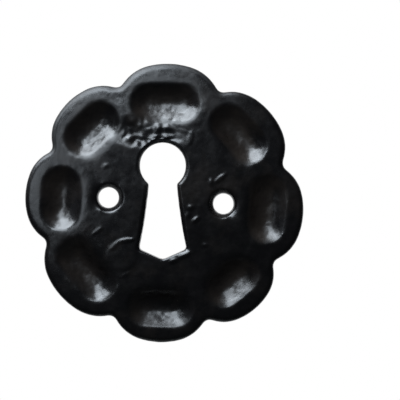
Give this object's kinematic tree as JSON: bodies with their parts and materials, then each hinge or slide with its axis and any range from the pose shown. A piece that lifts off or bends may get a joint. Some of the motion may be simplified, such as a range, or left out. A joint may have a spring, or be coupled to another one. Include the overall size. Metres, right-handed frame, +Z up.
{
  "type": "keyhole escutcheon",
  "caption": "Round cast-iron keyhole escutcheon with a border of hollowed petals, a flared keyhole and countersunk screw holes, for a cabinet door or drawer front.",
  "frame": {"origin": "midway between the two screw holes, in the plane of the flat back", "axes": "+Y out of the back, into the door or drawer front; the decorated face looks along -Y; +Z up, from the keyhole's slot to its round end; X across the plate, along the line of the screw holes to within 3.1 degrees"},
  "size_m": [0.0499, 0.005, 0.05],
  "materials": {
    "black_iron": "black, satin, with the uneven skin of a sand casting"
  },
  "bodies": {
    "root": {"escutcheon_plate": "black_iron"}
  },
  "joints": []
}
